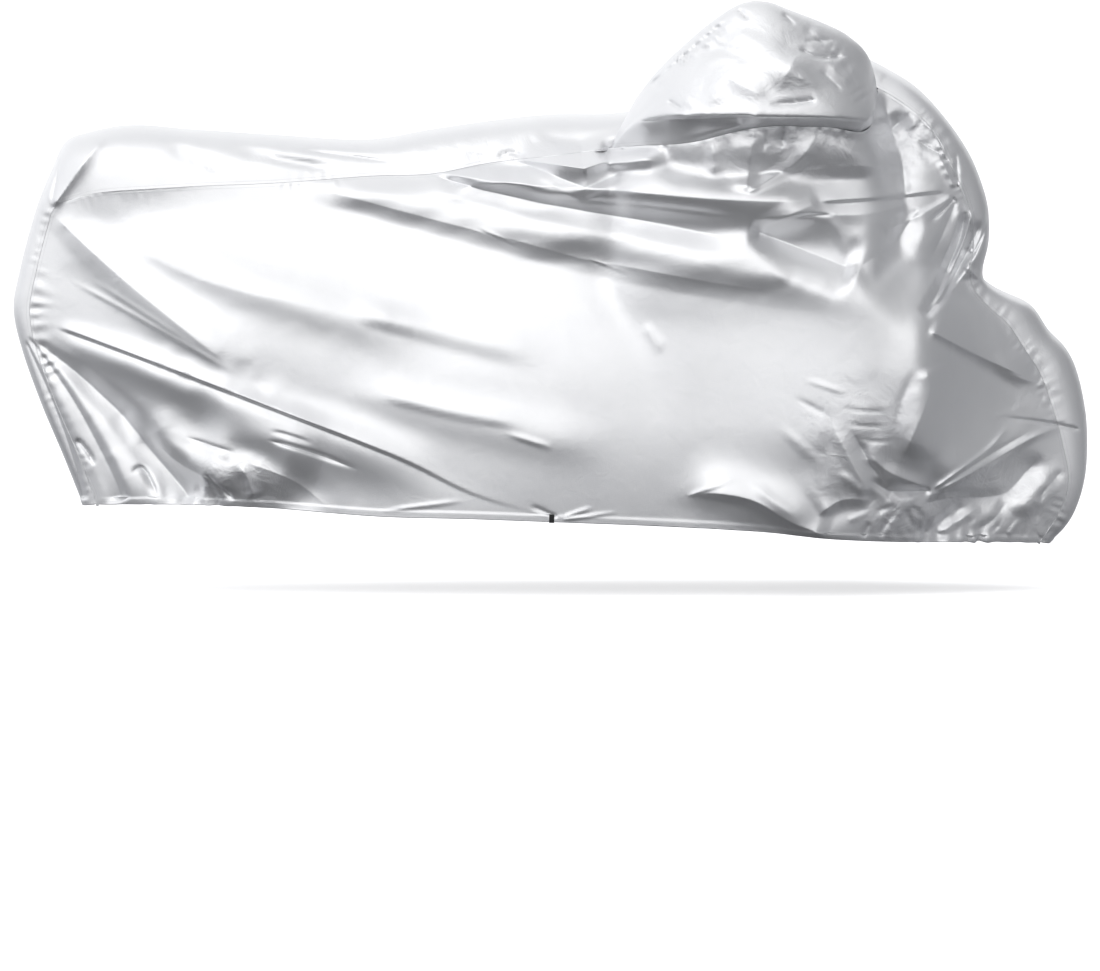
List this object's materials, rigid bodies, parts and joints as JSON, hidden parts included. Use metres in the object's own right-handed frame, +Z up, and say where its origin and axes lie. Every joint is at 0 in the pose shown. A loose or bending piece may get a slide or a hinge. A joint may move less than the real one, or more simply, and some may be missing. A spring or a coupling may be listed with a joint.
{
  "type": "scooter cover",
  "caption": "Fitted silver cloth cover hanging in folds over a two-wheeler's shape, hollow and open below, with mirror pockets, a gathered hem and small webbing tabs.",
  "frame": {"origin": "on the underside of the spine panel, in its middle, where the saddle carries it", "axes": "+X forward along the cover, +Y to the vehicle's left, +Z up"},
  "size_m": [2.1457, 0.8454, 1.0706],
  "materials": {
    "silver_cloth": "silver-coated taffeta, satin sheen",
    "webbing": "woven black tape"
  },
  "bodies": {
    "root": {"side_panel_right": "silver_cloth", "side_panel_left": "silver_cloth", "spine_panel": "silver_cloth", "mirror_pocket_right": "silver_cloth", "mirror_pocket_left": "silver_cloth", "hem_tab_right": "webbing", "hem_tab_left": "webbing"}
  },
  "joints": []
}
